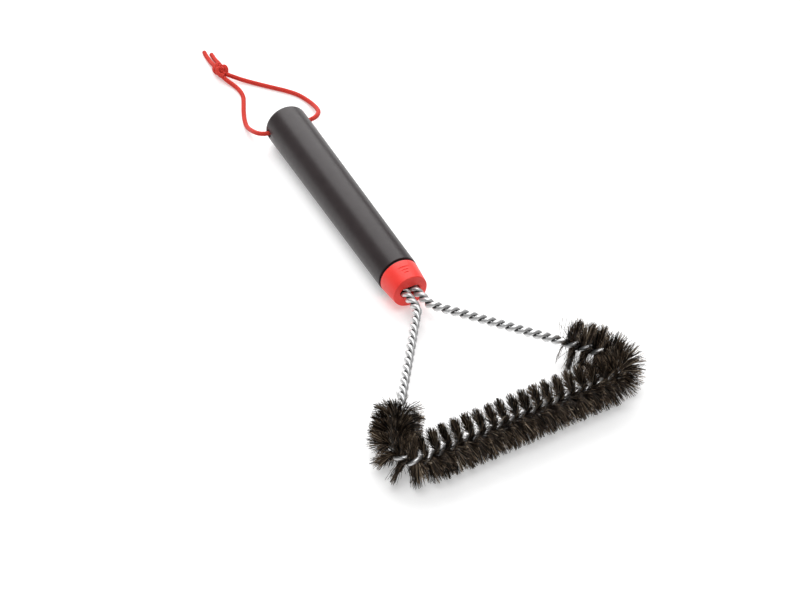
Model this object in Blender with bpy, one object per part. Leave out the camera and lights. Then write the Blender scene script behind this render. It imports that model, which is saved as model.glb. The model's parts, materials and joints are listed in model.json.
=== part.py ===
"""Three-sided grill cleaning brush.

Lengths are in metres. The brush lies on the plane z = 0 with the front of its head square to -Y and the
middle of its outline over the origin. The handle points along +Y, a little aslant, as the wires are bent by
hand. Two wires, twisted round each other, leave the front collar, run down one arm, along the front of the
head and back up the other arm. Bristles are clamped between them on the outer part of each arm and along
the whole front. The handle, from the collar to the cord's knot, is laid out in a frame of its own with the
grip's front end at y = 0, and HANDLE_PLACE puts that frame in its place.
"""

import math

import bmesh
import bpy
from mathutils import Matrix, Vector

MM = 0.001

# Driving dimensions
OVERALL_LENGTH = 322.5 * MM
GRIP_LENGTH = 165 * MM
COLLAR_LENGTH = 16.7 * MM
HEAD_HALF_WIDTH = 90.5 * MM
BRISTLE_RADIUS = 15 * MM
BRISTLED_ARM = 49 * MM
HANDLE_LEAN = math.radians(3.4)
GRIP_BUTT_RADIUS = 14.4 * MM
GRIP_SEAM_RADIUS = 13.4 * MM
WIRE_RADIUS = 1.5 * MM
CORD_RADIUS = 1.5 * MM

# Clearance between neighbouring solids, how far a cutter runs past what it cuts, and shading
GAP = 0.3 * MM
OVERCUT = 2 * MM
SHARP_ANGLE = math.radians(35)

# Handle, in its own frame
NECK_Y = OVERALL_LENGTH / 2 - (GRIP_LENGTH + COLLAR_LENGTH) * math.cos(HANDLE_LEAN)
HANDLE_PLACE = (
    Matrix.Translation((0, NECK_Y, 0))
    @ Matrix.Rotation(-HANDLE_LEAN, 4, "Z")
    @ Matrix.Translation((0, COLLAR_LENGTH, 0))
)
HANDLE_Z = GRIP_BUTT_RADIUS
GRIP_TAPER_END_Y = 149 * MM
GRIP_BUTT_ROUND = 3.5 * MM
GRIP_BUTT_CROWN = 0.7 * MM
GRIP_LIP = 0.6 * MM
BORE_RADIUS = 9.6 * MM
BORE_END_Y = 145 * MM
BORE_TIP_Y = 150 * MM
CORD_HOLE_Y = GRIP_LENGTH - 6.7 * MM
CORD_HOLE_RADIUS = 2.4 * MM

# Core with its flange between the grip and the collar
FLANGE_THICKNESS = 1 * MM
FLANGE_RADIUS = 12.2 * MM
SPIGOT_LENGTH = 38 * MM
NOSE_RADIUS = 8.5 * MM
NOSE_LENGTH = 12 * MM

# Collar
COLLAR_BACK_RADIUS = 13.1 * MM
COLLAR_FACE_RADIUS = 11.7 * MM
COLLAR_EDGE_ROUND = 0.6 * MM
SLOT_HALF_WIDTH = 6.8 * MM
SLOT_HALF_HEIGHT = 3.5 * MM

# Sleeve crimped on the wire ends
FERRULE_LENGTH = 12 * MM
FERRULE_WALL = 1.2 * MM
WIRE_END_Y = SPIGOT_LENGTH + FERRULE_LENGTH + 2 * MM

# Centre line of the twisted pair
HEAD_Z = BRISTLE_RADIUS - 0.5 * MM
FRONT_Y = -OVERALL_LENGTH / 2 + BRISTLE_RADIUS
STEM_X = 3.3 * MM
ELBOW_X = 4.4 * MM
ELBOW_Y = NECK_Y - 16 * MM
STEM_BEND_RADIUS = 60 * MM
ELBOW_BEND_RADIUS = 12 * MM
CORNER_BEND_RADIUS = 12 * MM
CORE_SPACING = 1 * MM

# Twist of the wires: wide along the bristles and a little past them, tighter on the bare arms
TWIST_RADIUS = WIRE_RADIUS + GAP / 2
BARE_PITCH = 11.9 * MM
BRISTLED_PITCH = 15.8 * MM
WIDE_TWIST_RUN_ON = 8 * MM
TWIST_START = -2.5 * MM
POINTS_PER_TURN = 8

# Bodies of bristles, with a tunnel for the wires
BRISTLE_SIDES = 28
CORNER_STEPS = 8
TUNNEL_RADIUS = TWIST_RADIUS + WIRE_RADIUS + 1.5 * GAP
TUNNEL_SIDES = 10
TUNNEL_SPACING = 2.5 * MM

# Knot of the cord
KNOT_CENTRE = Vector((-10.4, 242.8, 4.6)) * MM
KNOT_RADII = Vector((4.6, 5.2, 4.4)) * MM

# The cord's two strands, from the middle of the cross hole to the knot, and its two tails, in millimetres
LEFT_ROUTE = [
    (-0.15, 158.3, 14.4), (-6, 158.3, 14.4), (-11.7, 158.4, 14.4), (-16.3, 159.3, 14.2),
    (-19.4, 162.3, 13.3), (-20.4, 167.2, 11.2), (-20.1, 172.6, 8.3), (-19.4, 178.4, 5.2),
    (-18.3, 184.8, 2.7), (-16.3, 191.9, 1.7), (-13.3, 199.7, 1.6), (-9.8, 207.2, 1.6),
    (-7.1, 213.8, 1.6), (-6.5, 220.2, 1.6), (-7.7, 226.6, 1.9), (-10.1, 232.2, 2.9), (-12.0, 237.2, 4.2),
]
RIGHT_ROUTE = [
    (0.15, 158.3, 14.4), (6, 158.3, 14.4), (11.5, 158.4, 14.4), (17.2, 159.1, 14.0),
    (22.4, 162.0, 12.6), (26.5, 167.2, 10.4), (29.1, 174.3, 7.0), (30.4, 182.8, 3.6),
    (29.8, 191.1, 1.8), (26.8, 199.0, 1.6), (21.8, 206.0, 1.6), (14.3, 214.1, 1.6),
    (6.9, 222.1, 1.6), (-0.3, 229.3, 2.3), (-5.6, 234.3, 3.6), (-8.5, 237.2, 4.4),
]
LONG_TAIL_ROUTE = [
    (-12.0, 248.5, 4.2), (-11.9, 252.5, 3.3), (-11.7, 257.2, 2.1), (-11.4, 263.0, 1.6), (-10.9, 269.0, 1.6),
]
SHORT_TAIL_ROUTE = [(-8.5, 248.5, 4.6), (-8.3, 252.0, 3.9), (-8.1, 256.7, 2.5), (-7.6, 264.4, 1.7)]
CORD_STEPS = 12
CORD_POINT_SPACING = 3.6 * MM


def clear_scene():
    for old in list(bpy.data.objects):
        bpy.data.objects.remove(old, do_unlink=True)


def material(name, colour, roughness, metallic=0.0):
    """A Principled material of one colour."""
    made = bpy.data.materials.new(name)
    made.use_nodes = True
    shader = made.node_tree.nodes["Principled BSDF"]
    shader.inputs["Base Color"].default_value = (*colour, 1.0)
    shader.inputs["Roughness"].default_value = roughness
    shader.inputs["Metallic"].default_value = metallic
    return made


def add_object(name, data, shading=None, parent=None):
    """Link data as an object, in its parent's frame if it has one."""
    made = bpy.data.objects.new(name, data)
    bpy.context.collection.objects.link(made)
    made.parent = parent
    if shading:
        data.materials.append(shading)
    return made


def mesh_from(bm, name):
    """Close a bmesh into a mesh with outward faces, shaded smooth but for its sharp edges."""
    bmesh.ops.recalc_face_normals(bm, faces=bm.faces)
    mesh = bpy.data.meshes.new(name)
    bm.to_mesh(mesh)
    bm.free()
    mesh.shade_smooth()
    mesh.set_sharp_from_angle(angle=SHARP_ANGLE)
    return mesh


def arc(centre, radius, start_deg, end_deg, steps):
    """Points (y, r) on an arc in a turned profile; 0 degrees points along +Y and 90 degrees outwards."""
    angles = [math.radians(start_deg + (end_deg - start_deg) * i / steps) for i in range(steps + 1)]
    return [(centre[0] + radius * math.cos(a), centre[1] + radius * math.sin(a)) for a in angles]


def turned(name, profile, sides=48):
    """Turn a profile of (y, r) points, open on the axis or closed, about the handle's axis."""
    bm = bmesh.new()
    verts = [bm.verts.new((r, y, 0)) for y, r in profile]
    edges = [bm.edges.new(pair) for pair in zip(verts, verts[1:])]
    if profile[0][1] > 0:
        edges.append(bm.edges.new((verts[-1], verts[0])))
    bmesh.ops.spin(
        bm, geom=verts + edges, cent=(0, 0, 0), axis=(0, 1, 0), angle=math.tau, steps=sides, use_merge=True
    )
    bmesh.ops.remove_doubles(bm, verts=bm.verts, dist=1e-6)
    bmesh.ops.translate(bm, vec=(0, 0, HANDLE_Z), verts=bm.verts)
    return mesh_from(bm, name)


def stadium(name, half_width, half_height, start_y, end_y, steps=10):
    """A prism along Y whose section is a slot with round ends."""
    bm = bmesh.new()
    straight = half_width - half_height
    outline = []
    for side in (1, -1):
        for i in range(steps + 1):
            angle = math.radians(-90 + 180 * i / steps)
            x = side * (straight + half_height * math.cos(angle))
            z = HANDLE_Z + side * half_height * math.sin(angle)
            outline.append(bm.verts.new((x, start_y, z)))
    face = bm.faces.new(outline)
    grown = bmesh.ops.extrude_face_region(bm, geom=[face])["geom"]
    moved = [v for v in grown if isinstance(v, bmesh.types.BMVert)]
    bmesh.ops.translate(bm, vec=(0, end_y - start_y, 0), verts=moved)
    return mesh_from(bm, name)


def cylinder_along(name, centre, direction, radius, length, sides):
    """A cylinder centred on a point."""
    bm = bmesh.new()
    bmesh.ops.create_cone(
        bm, cap_ends=True, segments=sides, radius1=radius, radius2=radius, depth=length
    )
    turn = Vector((0, 0, 1)).rotation_difference(Vector(direction)).to_matrix().to_4x4()
    bmesh.ops.transform(bm, matrix=Matrix.Translation(Vector(centre)) @ turn, verts=bm.verts)
    return mesh_from(bm, name)


def hidden_cutter(data, parent=None):
    """A shape that only cuts others: it stays in the file as a hidden wire object."""
    cutter = add_object(data.name, data, parent=parent)
    cutter.hide_render = True
    cutter.display_type = "WIRE"
    return cutter


def cut(target, cutter):
    modifier = target.modifiers.new(cutter.name, "BOOLEAN")
    modifier.operation = "DIFFERENCE"
    modifier.solver = "EXACT"
    modifier.object = cutter


def bend(before, corner, after, radius):
    """The start, centre and end of the arc that rounds a corner."""
    back = (before - corner).normalized()
    ahead = (after - corner).normalized()
    half_angle = back.angle(ahead) / 2
    reach = radius / math.tan(half_angle)
    centre = corner + (back + ahead).normalized() * radius / math.sin(half_angle)
    return corner + back * reach, centre, corner + ahead * reach


def rounded_line(corners, radii, spacing):
    """Points along a line whose inner corners are rounded by arcs, with points at most spacing apart."""
    points = [corners[0]]
    for before, corner, after, radius in zip(corners, corners[1:], corners[2:], radii):
        start, centre, end = bend(before, corner, after, radius)
        spoke = start - centre
        sweep = spoke.angle(end - centre)
        axis = spoke.cross(end - centre).normalized()
        steps = math.ceil(sweep * radius / spacing)
        points += [centre + Matrix.Rotation(sweep * i / steps, 3, axis) @ spoke for i in range(steps + 1)]
    return [*points, corners[-1]]


def core_corners():
    """The corners of the twisted pair's centre line, from the left wire ends round to the right ones."""
    sides = []
    for side in (-1, 1):
        stem = [HANDLE_PLACE @ Vector((side * STEM_X, y, HANDLE_Z)) for y in (WIRE_END_Y, -COLLAR_LENGTH)]
        elbow = Vector((side * ELBOW_X, ELBOW_Y, HANDLE_Z))
        sides.append([*stem, elbow, Vector((side * HEAD_HALF_WIDTH, FRONT_Y, HEAD_Z))])
    left, right = sides
    return [*left, *reversed(right)]


def core_line(spacing):
    one_side = [STEM_BEND_RADIUS, ELBOW_BEND_RADIUS, CORNER_BEND_RADIUS]
    return rounded_line(core_corners(), [*one_side, *reversed(one_side)], spacing)


def travelled(points):
    """How far along the line each point is, from its first point."""
    distance = [0.0]
    for a, b in zip(points, points[1:]):
        distance.append(distance[-1] + (b - a).length)
    return distance


def core_distances(line):
    """How far along the core line each point is, counted from the middle of the front."""
    distances = travelled(line)
    front = [d for point, d in zip(line, distances) if point.y < FRONT_Y + 1e-6]
    middle = (front[0] + front[-1]) / 2
    return [d - middle for d in distances]


def point_at(points, distances, s):
    """The point and direction of the line at one of its distances."""
    i = next((k for k in range(1, len(points) - 1) if distances[k] >= s), len(points) - 1)
    share = (s - distances[i - 1]) / (distances[i] - distances[i - 1])
    return points[i - 1].lerp(points[i], share), (points[i] - points[i - 1]).normalized()


def bristled_half_length():
    """Distance along the line from the middle of the front to where an arm's bristles end."""
    corner, elbow = Vector((HEAD_HALF_WIDTH, FRONT_Y, HEAD_Z)), Vector((ELBOW_X, ELBOW_Y, HANDLE_Z))
    middle = Vector((0, FRONT_Y, HEAD_Z))
    start, centre, end = bend(middle, corner, elbow, CORNER_BEND_RADIUS)
    arc_length = (start - centre).angle(end - centre) * CORNER_BEND_RADIUS
    return start.x + arc_length + BRISTLED_ARM - (end - corner).length


def twist_angle(s, bristled):
    """Left-handed twist of the pair, nought at TWIST_START along the front."""
    inner = min(abs(s), bristled + WIDE_TWIST_RUN_ON)
    outer = abs(s) - inner
    turns = inner / BRISTLED_PITCH + outer / BARE_PITCH
    return -math.tau * (math.copysign(turns, s) - TWIST_START / BRISTLED_PITCH)


def wire_points(phase):
    """One wire's centre line, winding round the core line."""
    line = core_line(CORE_SPACING)
    distances = core_distances(line)
    bristled = bristled_half_length()
    step = BARE_PITCH / POINTS_PER_TURN
    count = math.floor((distances[-1] - distances[0]) / step)
    points = []
    for i in range(count + 1):
        s = distances[0] + (distances[-1] - distances[0]) * i / count
        centre, ahead = point_at(line, distances, s)
        across = Vector((0, 0, 1)).cross(ahead).normalized()
        upwards = ahead.cross(across)
        angle = twist_angle(s, bristled) + phase
        points.append(centre + TWIST_RADIUS * (math.cos(angle) * across + math.sin(angle) * upwards))
    return points


def tube_curve(name, points, radius, resolution):
    """A curve through the points, swept as a closed round tube."""
    curve = bpy.data.curves.new(name, "CURVE")
    curve.dimensions = "3D"
    curve.bevel_depth = radius
    curve.bevel_resolution = resolution
    curve.use_fill_caps = True
    spline = curve.splines.new("POLY")
    spline.points.add(len(points) - 1)
    for slot, point in zip(spline.points, points):
        slot.co = (*point, 1.0)
    return curve


def smooth_route(route):
    """Evenly spaced points on a smooth curve through a route given in millimetres."""
    knots = [Vector(p) * MM for p in route]
    knots = [2 * knots[0] - knots[1], *knots, 2 * knots[-1] - knots[-2]]
    fine = []
    for a, b, c, d in zip(knots, knots[1:], knots[2:], knots[3:]):
        for i in range(CORD_STEPS):
            t = i / CORD_STEPS
            bend_terms = (2 * a - 5 * b + 4 * c - d) * t**2 + (3 * b - a - 3 * c + d) * t**3
            fine.append(0.5 * (2 * b + (c - a) * t + bend_terms))
    fine.append(knots[-2])
    distances = travelled(fine)
    count = round(distances[-1] / CORD_POINT_SPACING)
    inner = [point_at(fine, distances, distances[-1] * i / count)[0] for i in range(1, count)]
    return [fine[0], *inner, fine[-1]]


def build_grip(shading, handle):
    outside = [(GAP, BORE_RADIUS), (GAP, GRIP_SEAM_RADIUS - GRIP_LIP)]
    outside += [(GAP + GRIP_LIP / 3, GRIP_SEAM_RADIUS - GRIP_LIP / 4)]
    outside += [(GAP + GRIP_LIP, GRIP_SEAM_RADIUS), (GRIP_TAPER_END_Y, GRIP_BUTT_RADIUS)]
    round_centre = (GRIP_LENGTH - GRIP_BUTT_CROWN - GRIP_BUTT_ROUND, GRIP_BUTT_RADIUS - GRIP_BUTT_ROUND)
    outside += arc(round_centre, GRIP_BUTT_ROUND, 90, 10, 6)
    outside += [(GRIP_LENGTH - GRIP_BUTT_CROWN / 4, GRIP_BUTT_RADIUS / 2), (GRIP_LENGTH, 0)]
    profile = [(BORE_TIP_Y, 0), (BORE_END_Y, BORE_RADIUS), *outside]
    grip = add_object("handle_grip", turned("handle_grip", profile), shading, handle)
    hole = cylinder_along(
        "cord_hole_cutter", (0, CORD_HOLE_Y, HANDLE_Z), (1, 0, 0), CORD_HOLE_RADIUS, 4 * GRIP_BUTT_RADIUS, 24
    )
    cut(grip, hidden_cutter(hole, handle))


def build_core(shading, handle):
    spigot_radius = BORE_RADIUS - GAP
    profile = [
        (-NOSE_LENGTH, 0), (-NOSE_LENGTH, NOSE_RADIUS), (-FLANGE_THICKNESS, NOSE_RADIUS),
        (-FLANGE_THICKNESS, FLANGE_RADIUS), (0, FLANGE_RADIUS), (0, spigot_radius),
        (SPIGOT_LENGTH, spigot_radius), (SPIGOT_LENGTH, 0),
    ]
    core = add_object("anchor_core", turned("anchor_core", profile), shading, handle)
    tunnel = stadium(
        "core_slot_cutter", SLOT_HALF_WIDTH, SLOT_HALF_HEIGHT, -NOSE_LENGTH - OVERCUT, SPIGOT_LENGTH + OVERCUT
    )
    cut(core, hidden_cutter(tunnel, handle))


def build_collar(shading, handle):
    back_y = -FLANGE_THICKNESS - GAP
    pocket_y = -NOSE_LENGTH - GAP
    edge_centre = (COLLAR_EDGE_ROUND - COLLAR_LENGTH, COLLAR_FACE_RADIUS - COLLAR_EDGE_ROUND)
    profile = [
        (pocket_y, 0), (pocket_y, NOSE_RADIUS + GAP), (back_y, NOSE_RADIUS + GAP),
        (back_y, COLLAR_BACK_RADIUS - GAP), (back_y - GAP, COLLAR_BACK_RADIUS),
        *arc(edge_centre, COLLAR_EDGE_ROUND, 90, 180, 4), (-COLLAR_LENGTH, 0),
    ]
    collar = add_object("front_collar", turned("front_collar", profile), shading, handle)
    slot = stadium(
        "collar_slot_cutter", SLOT_HALF_WIDTH, SLOT_HALF_HEIGHT, -COLLAR_LENGTH - OVERCUT, pocket_y + OVERCUT
    )
    cut(collar, hidden_cutter(slot, handle))


def build_ferrule(shading, handle):
    start_y = SPIGOT_LENGTH + GAP
    end_y = start_y + FERRULE_LENGTH
    body = stadium(
        "wire_ferrule", SLOT_HALF_WIDTH + FERRULE_WALL, SLOT_HALF_HEIGHT + FERRULE_WALL, start_y, end_y
    )
    ferrule = add_object("wire_ferrule", body, shading, handle)
    inside = stadium(
        "ferrule_bore_cutter", SLOT_HALF_WIDTH, SLOT_HALF_HEIGHT, start_y - OVERCUT, end_y + OVERCUT
    )
    cut(ferrule, hidden_cutter(inside, handle))


def build_wires(shading):
    for name, phase in (("core_wire_a", 0), ("core_wire_b", math.pi)):
        add_object(name, tube_curve(name, wire_points(phase), WIRE_RADIUS, 1), shading)


def ring(centre, ahead, radius, sides):
    """Points on a circle round a line, one of them straight out to the line's right."""
    across = ahead.cross(Vector((0, 0, 1))).normalized()
    upwards = across.cross(ahead)
    angles = [math.tau * i / sides for i in range(sides)]
    return [centre + radius * (math.cos(a) * across + math.sin(a) * upwards) for a in angles]


def swept_tube(name, points, radius, sides):
    """A closed tube of flat-sided section along a line."""
    bm = bmesh.new()
    rings = []
    for before, centre, after in zip([points[0], *points], points, [*points[1:], points[-1]]):
        rings.append([bm.verts.new(p) for p in ring(centre, (after - before).normalized(), radius, sides)])
    for near, far in zip(rings, rings[1:]):
        for i in range(sides):
            j = (i + 1) % sides
            bm.faces.new((near[i], near[j], far[j], far[i]))
    bm.faces.new(rings[0])
    bm.faces.new(rings[-1])
    return mesh_from(bm, name)


def bristle_solid(name, stations, line, distances, tunnel, shading):
    """The convex body of bristles round a stretch of the line, trimmed flat where it rests."""
    bm = bmesh.new()
    for s in stations:
        centre, ahead = point_at(line, distances, s)
        for point in ring(centre, ahead, BRISTLE_RADIUS, BRISTLE_SIDES):
            bm.verts.new(point)
    hull = bmesh.ops.convex_hull(bm, input=bm.verts)
    inside = [v for v in hull["geom_interior"] if isinstance(v, bmesh.types.BMVert)]
    bmesh.ops.delete(bm, geom=inside, context="VERTS")
    everything = [*bm.verts, *bm.edges, *bm.faces]
    sliced = bmesh.ops.bisect_plane(
        bm, geom=everything, plane_co=(0, 0, 0), plane_no=(0, 0, 1), clear_inner=True
    )
    rim = [e for e in sliced["geom_cut"] if isinstance(e, bmesh.types.BMEdge)]
    bmesh.ops.holes_fill(bm, edges=rim)
    bmesh.ops.dissolve_limit(bm, angle_limit=math.radians(0.5), verts=bm.verts, edges=bm.edges)
    bmesh.ops.triangulate(bm, faces=bm.faces)
    body = add_object(name, mesh_from(bm, name), shading)
    cut(body, tunnel)


def build_bristles(shading):
    line = core_line(CORE_SPACING)
    distances = core_distances(line)
    tunnel_line = core_line(TUNNEL_SPACING)
    tunnel = hidden_cutter(swept_tube("wire_tunnel_cutter", tunnel_line, TUNNEL_RADIUS, TUNNEL_SIDES))

    half_corner = math.atan2(ELBOW_Y - FRONT_Y, HEAD_HALF_WIDTH - ELBOW_X) / 2
    corner_reach = BRISTLE_RADIUS / math.tan(half_corner) + GAP
    rounding_reach = CORNER_BEND_RADIUS / math.tan(half_corner)
    arc_length = CORNER_BEND_RADIUS * (math.pi - 2 * half_corner)
    corner_start = HEAD_HALF_WIDTH - corner_reach
    arc_start = HEAD_HALF_WIDTH - rounding_reach
    arc_end = arc_start + arc_length
    corner_end = arc_end + corner_reach - rounding_reach
    arm_end = bristled_half_length()

    corner_stations = [corner_start + GAP / 2]
    corner_stations += [arc_start + arc_length * i / CORNER_STEPS for i in range(CORNER_STEPS + 1)]
    corner_stations += [corner_end - GAP / 2]
    runs = {
        "bristles_left_arm": [-arm_end, -corner_end - GAP / 2],
        "bristles_left_corner": [-s for s in corner_stations],
        "bristles_front": [-corner_start + GAP / 2, corner_start - GAP / 2],
        "bristles_right_corner": corner_stations,
        "bristles_right_arm": [corner_end + GAP / 2, arm_end],
    }
    for name, stations in runs.items():
        bristle_solid(name, stations, line, distances, tunnel, shading)


def build_cord(shading, handle):
    """The loop of cord, on an empty in the middle of the cross hole that it swings about."""
    swing = add_object("hanging_loop_axis", None, parent=handle)
    swing.location = (0, CORD_HOLE_Y, HANDLE_Z)
    routes = {
        "cord_left": LEFT_ROUTE, "cord_right": RIGHT_ROUTE,
        "cord_tail_long": LONG_TAIL_ROUTE, "cord_tail_short": SHORT_TAIL_ROUTE,
    }
    shapes = [tube_curve(name, smooth_route(route), CORD_RADIUS, 2) for name, route in routes.items()]
    bm = bmesh.new()
    bmesh.ops.create_uvsphere(bm, u_segments=20, v_segments=12, radius=1)
    bmesh.ops.scale(bm, vec=KNOT_RADII, verts=bm.verts)
    bmesh.ops.translate(bm, vec=KNOT_CENTRE, verts=bm.verts)
    shapes.append(mesh_from(bm, "cord_knot"))
    for shape in shapes:
        shape.transform(Matrix.Translation(-swing.location))
        add_object(shape.name, shape, shading, swing)


def main():
    clear_scene()
    handle = add_object("handle_frame", None)
    handle.matrix_world = HANDLE_PLACE
    build_grip(material("grip_plastic", (0.055, 0.052, 0.053), 0.42), handle)
    build_core(material("core_plastic", (0.01, 0.01, 0.01), 0.5), handle)
    build_collar(material("collar_plastic", (0.82, 0.08, 0.05), 0.4), handle)
    build_ferrule(material("ferrule_steel", (0.55, 0.55, 0.56), 0.35, 1.0), handle)
    build_wires(material("wire_steel", (0.72, 0.72, 0.71), 0.3, 1.0))
    build_bristles(material("bristle_steel", (0.06, 0.045, 0.035), 0.55, 0.6))
    build_cord(material("braided_cord", (0.78, 0.06, 0.03), 0.75), handle)


main()
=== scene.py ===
"""The looks of the grill cleaning brush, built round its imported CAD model.

Lengths are in metres, in the CAD model's frame: the brush lies on the plane z = 0 with the front of its
head square to -Y. Plastic and wire pieces are finer versions of their CAD solids. The bristles, which the
CAD holds as plain bodies, are modelled one by one, and the cord gets its braid and its knot.
"""

import json
import math

import bmesh
import bpy
import numpy as np
from mathutils import Matrix, Vector

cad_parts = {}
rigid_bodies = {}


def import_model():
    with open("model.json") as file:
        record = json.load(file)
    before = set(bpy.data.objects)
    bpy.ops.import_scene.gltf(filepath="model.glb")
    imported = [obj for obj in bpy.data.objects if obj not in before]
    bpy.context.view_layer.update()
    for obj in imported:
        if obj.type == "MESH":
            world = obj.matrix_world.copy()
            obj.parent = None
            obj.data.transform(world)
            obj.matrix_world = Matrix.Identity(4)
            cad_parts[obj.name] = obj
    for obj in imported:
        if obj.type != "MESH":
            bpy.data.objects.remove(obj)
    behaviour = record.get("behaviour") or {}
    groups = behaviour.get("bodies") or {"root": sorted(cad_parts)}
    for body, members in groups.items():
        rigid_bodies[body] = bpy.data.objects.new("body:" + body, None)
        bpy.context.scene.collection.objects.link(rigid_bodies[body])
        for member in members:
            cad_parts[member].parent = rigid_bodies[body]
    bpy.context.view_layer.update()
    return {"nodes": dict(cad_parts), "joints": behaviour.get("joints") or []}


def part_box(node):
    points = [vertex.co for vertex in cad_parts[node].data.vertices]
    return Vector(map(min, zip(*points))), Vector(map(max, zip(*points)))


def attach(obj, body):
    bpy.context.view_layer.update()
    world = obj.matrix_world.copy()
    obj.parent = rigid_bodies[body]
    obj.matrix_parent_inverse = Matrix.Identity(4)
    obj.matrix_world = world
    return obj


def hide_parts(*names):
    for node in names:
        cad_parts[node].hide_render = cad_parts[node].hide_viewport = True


MM = 0.001
TOUCHING = 1e-6
NEARLY_NOTHING = 1e-9

for old in list(bpy.data.objects):
    bpy.data.objects.remove(old, do_unlink=True)

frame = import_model()

# Camera
CAMERA_TARGET = Vector((-0.0109, -0.02575, 0.017))
CAMERA_DISTANCE = 1.8
CAMERA_AZIMUTH = math.radians(-31.35)
CAMERA_ELEVATION = math.radians(43.90)
CAMERA_ROLL = math.radians(0.98)
CAMERA_LENS_MM = 131.2

# Light: each soft box is (place, size, watts)
FLOOR_HALF_SIZE = 4
FLOOR_GREY = 0.75
FLOOR_GLOW = 0.38
WORLD_STRENGTH = 0.32
WHITE = (1.0, 1.0, 1.0, 1.0)
SOFT_BOXES = {
    "key": ((0.55, 1.35, 1.35), 2.2, 46),
    "top": ((-0.3, -0.4, 2.2), 1.2, 20),
}

# Colours, as linear red, green and blue
GRIP_DARK = (0.025, 0.018, 0.019)
GRIP_LIGHT = (0.030, 0.022, 0.023)
COLLAR_DARK = (0.88, 0.038, 0.028)
COLLAR_LIGHT = (0.92, 0.045, 0.033)
CORE_DARK = (0.006, 0.006, 0.006)
CORE_LIGHT = (0.010, 0.010, 0.010)
# The wires' grey is painted darker towards the groove between the two wires: painted shade, with the coat's
# own grey on the crests
WIRE_GROOVE_SHADE = (0.04, 0.04, 0.04)
WIRE_FLANK_HALF_SHADE = (0.40, 0.40, 0.40)
WIRE_CREST = (0.68, 0.68, 0.68)
SLEEVE_DARK = (0.52, 0.52, 0.52)
SLEEVE_LIGHT = (0.66, 0.66, 0.66)
# Bristle tones, one for each bristle at random: the dark ones are the wire's own colour, the lighter ones
# partly its own tan and partly painted glint, the lightest mostly painted glint
BRISTLE_DARKEST = (0.003, 0.002, 0.001)
BRISTLE_DARK = (0.036, 0.024, 0.016)
BRISTLE_TAN_AND_GLINT = (0.230, 0.165, 0.110)
BRISTLE_PAINTED_GLINT = (0.800, 0.680, 0.520)
# The cord's red by the braid's height: painted shade in the valleys between strands, the yarn's own red
# between, painted highlight on the crests
CORD_VALLEY_SHADE = (0.14, 0.004, 0.003)
CORD_MIDDLE = (0.46, 0.018, 0.011)
CORD_CREST_HIGHLIGHT = (0.84, 0.062, 0.036)

# Values of a noise texture: nearly all lie between the first two, and most between the second two
NOISE_LOW = 0.3
NOISE_HIGH = 0.7
MOTTLE_LOW = 0.35
MOTTLE_HIGH = 0.65

# The handle's own frame, as in part.py: the grip's front end is at y = 0 and its cross hole on the joint
HINGE = frame["joints"][0]
CORD_HOLE = Vector((0, 158.3, 14.4)) * MM
HANDLE_PLACE = (
    Matrix.Translation(HINGE["pos_m"])
    @ Vector((1, 0, 0)).rotation_difference(Vector(HINGE["axis"])).to_matrix().to_4x4()
    @ Matrix.Translation(-CORD_HOLE)
)
HANDLE_Z = CORD_HOLE.z

# Grip and collar, with a gap between each of them and the black core's flange
GAP = 0.3 * MM
GRIP_LENGTH = 165 * MM
GRIP_TAPER_END_Y = 149 * MM
GRIP_BUTT_RADIUS = 14.4 * MM
GRIP_BUTT_ROUND = 3.5 * MM
GRIP_BUTT_CROWN = 0.7 * MM
GRIP_CROWN_RADIUS = 0.75 * GRIP_BUTT_RADIUS
GRIP_LIP = 0.5 * MM
GRIP_SEAM_RADIUS = 13.4 * MM
BORE_RADIUS = 9.6 * MM
BORE_END_Y = 145 * MM
BORE_TIP_Y = 150 * MM
CORD_HOLE_RADIUS = 2.4 * MM
CORD_HOLE_FLARE = 1 * MM
CORD_HOLE_FLARE_DEPTH = 2 * MM
CORD_HOLE_FLARE_STEPS = 8
CORD_HOLE_CUT_X = 1.4 * GRIP_BUTT_RADIUS
CORD_HOLE_SIDES = 48
FLANGE_THICKNESS = 1 * MM
COLLAR_LENGTH = 16.7 * MM
COLLAR_BACK_RADIUS = 13.1 * MM
COLLAR_FACE_RADIUS = 11.7 * MM
COLLAR_BACK_ROUND = 0.4 * MM
COLLAR_EDGE_ROUND = 0.6 * MM
POCKET_RADIUS = 8.8 * MM
POCKET_Y = -12.3 * MM
SLOT_HALF_WIDTH = 6.8 * MM
SLOT_HALF_HEIGHT = 3.5 * MM
SLOT_END_STEPS = 16
SLOT_LIP = 0.6 * MM
SLOT_LIP_STEPS = 8
SLOT_LIP_POWER = 1.5
GROOVE_HALF_LENGTHS = (2 * MM, 3 * MM, 4 * MM)
GROOVE_PITCH = 2.3 * MM
GROOVE_RADIUS = 0.55 * MM
GROOVE_TIP_RADIUS = 0.02 * MM
GROOVE_LIFT = 0.08 * MM
GROOVE_STEPS = 10
GROOVE_SIDES = 16
OVERCUT = 1 * MM
TURNED_SIDES = 144

# Centre line of the twisted pair, and its twist
NECK = HANDLE_PLACE @ Vector((0, -COLLAR_LENGTH, HANDLE_Z))
STEM_X = 3.3 * MM
WIRE_END_Y = 52 * MM
ELBOW_X = 4.4 * MM
ELBOW_Y = NECK.y - 16 * MM
HEAD_HALF_WIDTH = 90.5 * MM
STEM_BEND_RADIUS = 60 * MM
ELBOW_BEND_RADIUS = 12 * MM
CORNER_BEND_RADIUS = 12 * MM
WIRE_RADIUS = 1.5 * MM
TWIST_RADIUS = 1.65 * MM
BARE_PITCH = 11.9 * MM
BRISTLED_PITCH = 15.8 * MM
WIDE_TWIST_RUN_ON = 8 * MM
TWIST_START = -2.5 * MM
BRISTLED_ARM = 49 * MM
CORE_SPACING = 0.5 * MM
WIRE_SIDES = 20

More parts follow.
